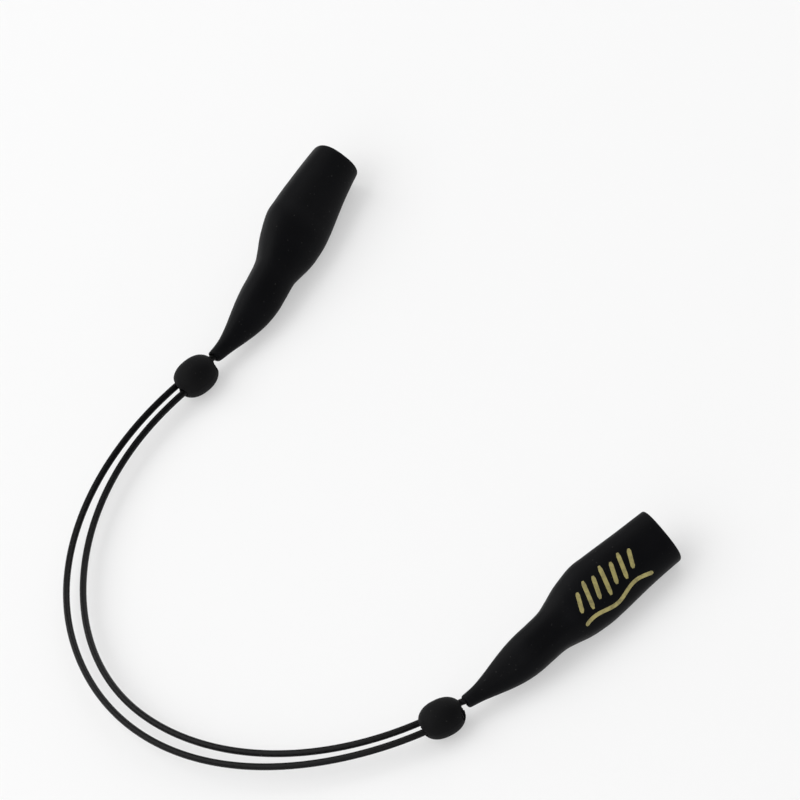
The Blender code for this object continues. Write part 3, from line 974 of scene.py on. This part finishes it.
# ---------------------------------------------------------------- the pieces
@dataclass
class CoatedCable:
    """One coated cable, from its anchor in a sleeve's nose, through one bead and round to the other."""

    layout: Layout
    side: Side
    sides: int = 28

    def build(self, palette: Palette) -> bpy.types.Object:
        """Make the cable.

        Args:
            palette: The finishes.

        Returns:
            The cable's object.
        """
        points = np.array([tuple(point) for point in self.layout.cable_run(self.side)])
        steps = np.gradient(points, axis=0)
        steps /= np.linalg.norm(steps, axis=1)[:, None]
        across = np.cross(steps, np.array([0.0, 0.0, 1.0]))
        across /= np.linalg.norm(across, axis=1)[:, None]
        upward = np.cross(across, steps)
        turns = np.linspace(0.0, 2 * math.pi, self.sides, endpoint=False)
        radius = self.layout.cable_diameter / 2
        sideways = np.cos(turns)[None, :, None] * across[:, None, :]
        circle = sideways + np.sin(turns)[None, :, None] * upward[:, None, :]
        rings = points[:, None, :] + radius * circle
        cable = MeshKit.rings(f"{self.side.value}_coated_cable", rings)
        palette.dress(cable, Slot.CABLE_COATING)
        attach(cable, self.side.body)
        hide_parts(f"{self.side.value}_cable")
        return cable


@dataclass
class TempleSleeve:
    """A moulded rubber sleeve: a bent nose round the cable's anchor and a hollow socket for a temple."""

    layout: Layout
    side: Side
    sides: int = 144
    skin_steps: int = 150
    round_steps: int = 6
    lip_radius: float = 0.00034
    nose_round: float = 0.00026
    seam_height: float = 0.000035
    seam_width: float = 0.00013

    def point(self, share: float, turn: float, inset: float = 0.0, scale: float = 1.0,
              seam: bool = False) -> Vector:
        """A point on the sleeve's section in its own frame.

        Args:
            share: 0 at the nose and 1 at the mouth.
            turn: The angle round the section in radians, from its broad side's edge.
            inset: Distance taken in from the outside.
            scale: Scale of the section.
            seam: Whether the mould's parting line stands proud here.

        Returns:
            The point, unrolled into the sleeve's frame.
        """
        layout = self.layout
        width, thick = layout.station(self.side, share)
        centre = layout.spine(self.side, share)
        roll = math.radians(layout.roll[self.side])
        power = 2.0 / layout.sleeve_squareness
        proud = 0.0
        if seam:
            off = min(abs(math.sin(turn)) * thick / 2, 0.001)
            proud = self.seam_height * math.exp(-((off / self.seam_width) ** 2))
        broad = scale * (width / 2 - inset + proud) * signed_power(math.cos(turn), power)
        flat = scale * (thick / 2 - inset) * signed_power(math.sin(turn), power)
        return Vector((
            share * layout.sleeve_length,
            centre.y + broad * math.cos(roll) - flat * math.sin(roll),
            centre.z + broad * math.sin(roll) + flat * math.cos(roll),
        ))

    def turns(self) -> List[float]:
        """Even angles round the section, one for each of its points."""
        return [2 * math.pi * index / self.sides for index in range(self.sides)]

    def circle(self, centre: Vector, direction: Vector, radius: float) -> List[Vector]:
        """A round ring across a direction, turned to match the sections.

        Args:
            centre: The ring's middle.
            direction: The way through the ring.
            radius: Its radius.

        Returns:
            As many points as a section has.
        """
        across = Vector((0.0, 0.0, 1.0)).cross(direction).normalized()
        upward = direction.normalized().cross(across)
        roll = math.radians(self.layout.roll[self.side])
        return [
            centre + radius * (math.cos(turn + roll) * across + math.sin(turn + roll) * upward)
            for turn in self.turns()
        ]

    def section(self, share: float, inset: float = 0.0, scale: float = 1.0,
                seam: bool = False) -> List[Vector]:
        """The sleeve's whole section.

        Args:
            share: 0 at the nose and 1 at the mouth.
            inset: Distance taken in from the outside.
            scale: Scale of the section.
            seam: Whether the mould's parting line stands proud here.

        Returns:
            The section's points.
        """
        return [self.point(share, turn, inset, scale, seam) for turn in self.turns()]

    def outside(self) -> List[Tuple[List[Vector], float]]:
        """The rounded nose, the long outer skin and the outer half of the mouth's lip.

        Returns:
            Each section with its share of wear and painted rim highlight, from the nose's hole to the rim.
        """
        length = self.layout.sleeve_length
        quarter = spaced(0.0, math.pi / 2, self.round_steps)
        rows = []
        for bend in quarter:
            share = self.nose_round * (1 - math.cos(bend)) / length
            rows.append((self.section(share, self.nose_round * (1 - math.sin(bend))), 0.55))
        for share in spaced(self.nose_round / length, 1.0 - self.lip_radius / length, self.skin_steps)[1:]:
            # Lighter at the nose and at the mouth's rim: rubbed wear with a painted rim highlight.
            wear_and_highlight = 0.45 * max(0.0, 1.0 - share / 0.05) + 0.5 * smoothstep((share - 0.975) / 0.02)
            rows.append((self.section(share, seam=True), wear_and_highlight))
        for bend in quarter[1:]:
            share = 1.0 - self.lip_radius * (1 - math.sin(bend)) / length
            rows.append((self.section(share, self.lip_radius * (1 - math.cos(bend))), 0.9))
        return rows

    def socket(self) -> List[Tuple[List[Vector], float]]:
        """The inner half of the lip and the hollow that a temple is pushed into.

        Returns:
            Each section with its share of wear and painted rim highlight, from the rim to the hollow's end.
        """
        layout = self.layout
        length = layout.sleeve_length
        wall = layout.sleeve_wall
        rows = []
        for bend in spaced(0.0, math.pi / 2, self.round_steps):
            share = 1.0 - self.lip_radius * (1 - math.cos(bend)) / length
            inset = wall - self.lip_radius * (1 - math.sin(bend))
            rows.append((self.section(share, inset), 0.7 if bend < 1.0 else 0.2))
        for share in spaced(1.0 - self.lip_radius / length, layout.socket_start + 0.02, 40)[1:]:
            rows.append((self.section(share, wall), 0.0))
        rows.append((self.section(layout.socket_start, wall, 0.75), 0.0))
        return rows

    def bore(self) -> List[Tuple[List[Vector], float]]:
        """The anchor plug's pocket and the cable's hole through the nose.

        Returns:
            Each ring with its share of wear and painted rim highlight, from the socket to the nose's tip.
        """
        layout = self.layout
        plug = layout.plug_frame(self.side)
        direction = (plug @ Vector((0, 0, 1))) - plug.translation
        rows = []
        for reach, radius in ((layout.pocket_length + 0.0001, layout.pocket_radius),
                              (layout.pocket_length * 0.5, layout.pocket_radius),
                              (0.0, layout.pocket_radius), (0.0, layout.bore_radius)):
            rows.append((self.circle(plug @ Vector((0.0, 0.0, reach)), direction, radius), 0.0))
        for share in spaced(layout.pocket_start, 0.0, 12)[1:]:
            ahead = layout.spine(self.side, share + 0.01) - layout.spine(self.side, max(share - 0.01, 0.0))
            rows.append((self.circle(layout.spine(self.side, share), ahead, layout.bore_radius), 0.0))
        return rows

    def build(self, palette: Palette) -> bpy.types.Object:
        """Make the sleeve.

        Args:
            palette: The finishes.

        Returns:
            The sleeve's object.
        """
        rows = self.outside() + self.socket() + self.bore()
        rings = np.array([[tuple(point) for point in ring] for ring, _ in rows])
        wear_and_highlight = np.array([worn_and_highlight for _, worn_and_highlight in rows], dtype=np.float32)
        matrix = np.array(self.layout.sleeve_frame(self.side))
        placed = rings @ matrix[:3, :3].T + matrix[:3, 3]
        sleeve = MeshKit.rings(f"{self.side.value}_moulded_sleeve", placed, closed=True)
        layer = sleeve.data.attributes.new("wear_and_highlight", "FLOAT", "POINT")
        layer.data.foreach_set("value", np.repeat(wear_and_highlight, self.sides))
        palette.dress(sleeve, Slot.SLEEVE_RUBBER)
        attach(sleeve, self.side.body)
        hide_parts(f"{self.side.value}_temple_sleeve")
        LOG.info("%s: %d faces", sleeve.name, len(sleeve.data.polygons))
        return sleeve


@dataclass
class AdjusterBead:
    """An oval rubber bead with a hole for the sliding cable and one for the cable that ends in it."""

    layout: Layout
    side: Side
    fullness: float = 2.3
    flare: float = 0.00045
    clearance: float = 0.00004
    overlap: float = 0.001
    facet_turn: float = 1.7
    seam_height: float = 0.00004
    seam_width: float = 0.00014
    sides: int = 112
    rings: int = 72

    def body_mesh(self) -> bpy.types.Object:
        """The bead before its holes, with a faint parting line along it.

        Returns:
            The bead's object.
        """
        rings = []
        half = self.layout.bead_length / 2
        power = 2.0 / self.fullness
        frame_matrix = self.layout.bead_frame(self.side)
        for turn in spaced(0.035, math.pi - 0.035, self.rings):
            radius = self.layout.bead_diameter / 2 * abs(math.sin(turn)) ** power
            height = half * signed_power(math.cos(turn), power)
            ring = []
            for index in range(self.sides):
                angle = 2 * math.pi * index / self.sides
                off = abs(math.sin(angle)) * radius
                seam = self.seam_height * math.exp(-((off / self.seam_width) ** 2))
                proud = seam * smoothstep(radius / 0.002)
                reach = radius + (proud if radius > 0.0004 else 0.0)
                ring.append(tuple(frame_matrix @ Vector((
                    reach * math.cos(angle), reach * math.sin(angle), height))))
            rings.append(ring)
        return MeshKit.rings(f"{self.side.value}_oval_bead", np.array(rings))

    def surface_height(self, offset: float) -> float:
        """How far the bead reaches along its axis at a distance from it."""
        share = abs(offset) / (self.layout.bead_diameter / 2)
        return self.layout.bead_length / 2 * (1 - share ** self.fullness) ** (1 / self.fullness)

    def hole(self, name: str, offset: float, radius: float, start: float, end: float,
             turn: float) -> bpy.types.Object:
        """A straight hole with a rounded flare where it leaves the bead.

        Args:
            name: The cutter's name.
            offset: Distance of the hole from the bead's axis, outwards from the loop.
            radius: The hole's radius.
            start: The inner end along the bead's axis.
            end: The outer end, past the surface.
            turn: Degrees about the hole's own axis, so that no two cutters' facets share a plane.

        Returns:
            The cutter.
        """
        profile = [(0.0, start), (radius, start)]
        rim = math.copysign(self.surface_height(offset), end)
        for share in spaced(0.0, 1.0, 7):
            bend = share * math.pi / 2
            back = math.copysign(self.flare * (1 - math.sin(bend)) - 0.25 * self.flare, end)
            profile.append((radius + self.flare * (1 - math.cos(bend)), rim - back))
        profile += [(profile[-1][0], end), (0.0, end)]
        spin = Matrix.Rotation(math.radians(turn), 4, "Z")
        return MeshKit.turned(name, profile, self.layout.bead_frame(self.side, offset) @ spin, 40)

    def build(self, palette: Palette) -> bpy.types.Object:
        """Make the bead, which belongs to the other side, whose cable ends in it.

        Args:
            palette: The finishes.

        Returns:
            The bead's object.
        """
        layout = self.layout
        bead = self.body_mesh()
        far = layout.bead_length * 0.8
        slides = layout.cable_offset(self.side)
        ends = layout.cable_offset(self.side.other)
        pocket_end = layout.bush_inset - layout.bead_length / 2 + layout.bush_length + layout.gap
        bore = layout.bore_radius + self.clearance
        holes = (
            ("sliding_hole", slides, bore, -self.overlap, far),
            ("bush_hole", slides, layout.bush_pocket, pocket_end, -far),
            ("inlet_hole", ends, bore, self.overlap, -far),
            ("crimp_hole", ends, layout.crimp_radius + layout.gap, layout.bead_cable_end, far),
        )
        MeshKit.subtract(bead, [self.hole(*row, turn=self.facet_turn * (index + 1))
                                for index, row in enumerate(holes)])
        self.paint_wear_and_highlight(bead)
        palette.dress(bead, Slot.BEAD_RUBBER)
        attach(bead, self.side.other.body)
        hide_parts(f"{self.side.value}_adjuster_bead")
        LOG.info("%s: %d faces", bead.name, len(bead.data.polygons))
        return bead

    def paint_wear_and_highlight(self, bead: bpy.types.Object) -> None:
        """Paint more wear and a painted highlight on the bead's two ends and its broadest ring.

        Args:
            bead: The bead's object.
        """
        inverse = self.layout.bead_frame(self.side).inverted()
        values = []
        for vertex in bead.data.vertices:
            local = inverse @ vertex.co
            end = smoothstep((abs(local.z) / (self.layout.bead_length / 2) - 0.80) / 0.2)
            girth = smoothstep(math.hypot(local.x, local.y) / (self.layout.bead_diameter / 2) - 0.94) * 2.0
            values.append(min(0.5 * end + 0.25 * girth, 1.0))
        layer = bead.data.attributes.new("wear_and_highlight", "FLOAT", "POINT")
        layer.data.foreach_set("value", np.array(values, dtype=np.float32))


@dataclass(frozen=True)
class Stroke:
    """One printed stroke: points along and across the sleeve's broad face, and its width."""

    points: Tuple[Tuple[float, float], ...]
    width: float


@dataclass
class PrintedMark:
    """A plain decorative mark of leaning bars over a long wave, printed on a sleeve's broad face."""

    sleeve: TempleSleeve
    start: float = 0.0254
    reach: float = 0.0160
    height: float = 0.0056
    lift: float = 0.000025
    sunk: float = 0.00004
    bars: Tuple[float, ...] = (0.62, 0.92, 0.74, 1.0, 0.70, 0.86, 0.60)
    bar_width: float = 0.00082
    bar_start: float = 0.0016
    bar_spacing: float = 0.0021
    bar_lean: float = 0.0016
    bar_drop: float = 0.0002
    wave_width: float = 0.00066
    wave_drop: float = 0.0043
    wave_swing: float = 0.00050

    def strokes(self) -> List[Stroke]:
        """The mark's strokes, in metres along the sleeve from its nose and across its broad face.

        Returns:
            The bars, then the wave under them.
        """
        made: List[Stroke] = []
        for index, share in enumerate(self.bars):
            along = self.start + self.bar_start + index * self.bar_spacing
            tall = self.height * share
            bar = tuple((along + self.bar_lean * (step - 0.5), -tall / 2 + tall * step - self.bar_drop)
                        for step in spaced(0.0, 1.0, 9))
            made.append(Stroke(bar, self.bar_width))
        wave = tuple((self.start + self.reach * step,
                      self.wave_swing * math.sin(2 * math.pi * (step * 1.5 + 0.1)) - self.wave_drop)
                     for step in spaced(0.0, 1.0, 48))
        made.append(Stroke(wave, self.wave_width))
        return made

    def on_face(self, along: float, across: float, lift: float) -> Vector:
        """A point on the sleeve's broad face.

        Args:
            along: Distance from the nose.
            across: Distance from the middle of the broad face.
            lift: Height over the rubber.

        Returns:
            The point in the sleeve's frame.
        """
        layout = self.sleeve.layout
        side = self.sleeve.side
        width, _ = layout.station(side, along / layout.sleeve_length)
        cosine = min(max(across / (width / 2), -0.98), 0.98)
        turn = math.acos(signed_power(cosine, layout.sleeve_squareness / 2.0))
        return self.sleeve.point(along / layout.sleeve_length, turn, -lift)

    def build(self, palette: Palette) -> bpy.types.Object:
        """Make the printed mark.

        Args:
            palette: The finishes.

        Returns:
            The mark's object.
        """
        matrix = self.sleeve.layout.sleeve_frame(self.sleeve.side)
        mesh = bpy.data.meshes.new("sleeve_print")
        shape = bmesh.new()
        for stroke in self.strokes():
            self.ribbon(shape, stroke, matrix)
        bmesh.ops.recalc_face_normals(shape, faces=shape.faces)
        shape.to_mesh(mesh)
        shape.free()
        mark = MeshKit.link("sleeve_print", mesh)
        mark.data.materials.append(palette.print)
        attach(mark, self.sleeve.side.body)
        LOG.info("%s: %d faces", mark.name, len(mark.data.polygons))
        return mark

    def ribbon(self, shape: bmesh.types.BMesh, stroke: Stroke, matrix: Matrix) -> None:
        """Add one stroke as a thin closed ribbon with rounded ends that hugs the rubber.

        Args:
            shape: The mesh that the ribbon is added to.
            stroke: The stroke.
            matrix: The sleeve's frame.
        """
        points = [Vector((x, y)) for x, y in stroke.points]
        rows = []
        for index, point in enumerate(points):
            ahead = points[min(index + 1, len(points) - 1)] - points[max(index - 1, 0)]
            normal = Vector((-ahead.y, ahead.x)).normalized()
            share = index / (len(points) - 1)
            ends = min(share, 1 - share) * (len(points) - 1)
            half = stroke.width / 2 * math.sqrt(max(0.0, min(1.0, (ends + 0.35) / 1.35)))
            row = []
            for lift, sign in ((self.lift, -1.0), (self.lift, -0.33), (self.lift, 0.33), (self.lift, 1.0),
                               (-self.sunk, 1.0), (-self.sunk, -1.0)):
                placed = point + normal * half * sign
                row.append(shape.verts.new(matrix @ self.on_face(placed.x, placed.y, lift)))
            rows.append(row)
        for first, second in zip(rows, rows[1:]):
            for index in range(len(first)):
                after = (index + 1) % len(first)
                shape.faces.new((first[index], first[after], second[after], second[index]))
        shape.faces.new(rows[0])
        shape.faces.new(rows[-1])


@dataclass
class Fittings:
    """The plugs, ferrules, crimps, bushes and bared wires, which keep their own solids."""

    kinds: Tuple[Tuple[str, Slot], ...] = (
        ("anchor_plug", Slot.PLUG_NYLON), ("anchor_ferrule", Slot.CRIMP_METAL),
        ("cable_anchor_tail", Slot.WIRE_STEEL), ("cable_bead_tail", Slot.WIRE_STEEL),
        ("grip_bush", Slot.BUSH_SILICONE), ("bead_crimp", Slot.CRIMP_METAL),
        ("bead_plug", Slot.BEAD_RUBBER),
    )

    def dress(self, palette: Palette) -> None:
        """Give each fitting its finish.

        Args:
            palette: The finishes.
        """
        for side in Side:
            for kind, slot in self.kinds:
                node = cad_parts[f"{side.value}_{kind}"]
                for holder in node.material_slots:
                    holder.material = palette.by_slot[slot]
                LOG.info("%s: %s", node.name, palette.by_slot[slot].name)


# ---------------------------------------------------------------- the studio
@dataclass(frozen=True)
class SoftLight:
    """One large soft light, aimed at the retainer."""

    name: str
    place: Tuple[float, float, float]
    size: Tuple[float, float]
    power: float

    def build(self) -> None:
        """Make the light."""
        data = bpy.data.lights.new(self.name, "AREA")
        data.shape = "RECTANGLE"
        data.size, data.size_y = self.size
        data.energy = self.power
        lamp = bpy.data.objects.new(self.name, data)
        lamp.location = self.place
        lamp.rotation_euler = (-Vector(self.place)).to_track_quat("-Z", "Y").to_euler()
        bpy.context.scene.collection.objects.link(lamp)


@dataclass(frozen=True)
class Studio:
    """The camera, the pale table and the soft lights round it."""

    azimuth: float = -26.0
    elevation: float = 44.37
    roll: float = -28.27
    distance: float = 2.4
    look: Tuple[float, float, float] = (0.01121, 0.01392, 0.0)
    lens: float = 575.8
    sensor: float = 36.0
    table_half: float = 0.8
    table_painted_glow: float = 0.455
    softboxes: Tuple[SoftLight, ...] = (
        SoftLight("overhead_softbox", (-0.60, 0.95, 1.45), (2.4, 2.0), 29.0),
        SoftLight("left_softbox", (-1.30, -0.45, 1.00), (1.6, 1.6), 10.0),
        SoftLight("right_softbox", (1.30, 0.35, 1.00), (1.6, 1.6), 10.0),
    )

    def camera(self) -> bpy.types.Object:
        """Make the camera, a long lens from well above.

        Returns:
            The camera.
        """
        turn, rise, lean = (math.radians(v) for v in (self.azimuth, self.elevation, self.roll))
        away = Vector((math.sin(turn) * math.cos(rise), -math.cos(turn) * math.cos(rise), math.sin(rise)))
        ahead = -away
        right = Vector((math.cos(turn), math.sin(turn), 0.0))
        upward = right.cross(ahead)
        rolled_right = right * math.cos(lean) + upward * math.sin(lean)
        rolled_up = -right * math.sin(lean) + upward * math.cos(lean)
        data = bpy.data.cameras.new("camera")
        data.lens = self.lens
        data.sensor_width = self.sensor
        data.clip_end = 20.0
        camera = bpy.data.objects.new("camera", data)
        axes = Matrix((rolled_right, rolled_up, away)).transposed().to_4x4()
        camera.matrix_world = Matrix.Translation(Vector(self.look) + away * self.distance) @ axes
        bpy.context.scene.collection.objects.link(camera)
        bpy.context.scene.camera = camera
        return camera

    def table(self) -> bpy.types.Object:
        """Make the table top, a wide pale sheet with a faint tooth and a low painted glow of its own that
        fills in the shadows on it.

        Returns:
            The table's object.
        """
        mesh = bpy.data.meshes.new("table")
        shape = bmesh.new()
        bmesh.ops.create_grid(shape, x_segments=8, y_segments=8, size=self.table_half)
        shape.to_mesh(mesh)
        shape.free()
        table = bpy.data.objects.new("table", mesh)
        bpy.context.scene.collection.objects.link(table)
        kit = Nodes("pale_table")
        where = kit.place()
        colour = kit.mix(kit.noise(6.0, 2.0, 0.5, where), (0.43, 0.43, 0.43), (0.44, 0.44, 0.44))
        rough = kit.spread(kit.noise(30.0, 2.0, 0.5, where), 0.3, 0.7, 0.82, 0.92)
        normal = kit.bump(kit.noise(900.0, 2.0, 0.5, where), 0.00001, 0.1)
        # Painted glow: the table emits light of its own, which lightens the shadows cast on it.
        kit.shader.inputs["Emission Color"].default_value = (1.0, 1.0, 1.0, 1.0)
        kit.shader.inputs["Emission Strength"].default_value = self.table_painted_glow
        mesh.materials.append(kit.finish(colour, rough, normal, Specular_IOR_Level=0.1))
        return table

    def lights(self) -> None:
        """Make the lights and a surround that is white at the horizon and dimmer overhead."""
        for light in self.softboxes:
            light.build()
        world = bpy.data.worlds.new("surround")
        world.use_nodes = True
        tree = world.node_tree
        ground = tree.nodes["Background"]
        place = tree.nodes.new("ShaderNodeTexCoord")
        parts = tree.nodes.new("ShaderNodeSeparateXYZ")
        height = tree.nodes.new("ShaderNodeMapRange")
        height.interpolation_type = "SMOOTHSTEP"
        for key, number in (("From Min", 0.10), ("From Max", 0.42), ("To Min", 1.0), ("To Max", 0.30)):
            height.inputs[key].default_value = number
        tree.links.new(place.outputs["Generated"], parts.inputs[0])
        tree.links.new(parts.outputs["Z"], height.inputs["Value"])
        tree.links.new(height.outputs["Result"], ground.inputs["Strength"])
        ground.inputs["Color"].default_value = (1.0, 1.0, 1.0, 1.0)
        bpy.context.scene.world = world
        bpy.context.scene.view_settings.view_transform = "Standard"


@dataclass
class Retainer:
    """The whole eyeglass retainer."""

    layout: Layout

    def build_cables(self, palette: Palette) -> None:
        """Make both cables.

        Args:
            palette: The finishes.
        """
        for side in Side:
            CoatedCable(self.layout, side).build(palette)

    def build(self, palette: Palette) -> None:
        """Make the sleeves, the print, the beads and the fittings' finishes.

        Args:
            palette: The finishes.
        """
        for side in Side:
            sleeve = TempleSleeve(self.layout, side)
            sleeve.build(palette)
            if side is Side.RIGHT:
                PrintedMark(sleeve).build(palette)
        for side in Side:
            AdjusterBead(self.layout, side).build(palette)
        Fittings().dress(palette)


def main() -> None:
    """Build the scene in order."""
    logging.basicConfig(level=logging.INFO, format="%(message)s")
    studio = Studio()
    studio.camera()
    palette = Palette()
    retainer = Retainer(Layout())
    retainer.build_cables(palette)
    retainer.build(palette)
    studio.table()
    studio.lights()


if __name__ == "__main__":
    main()
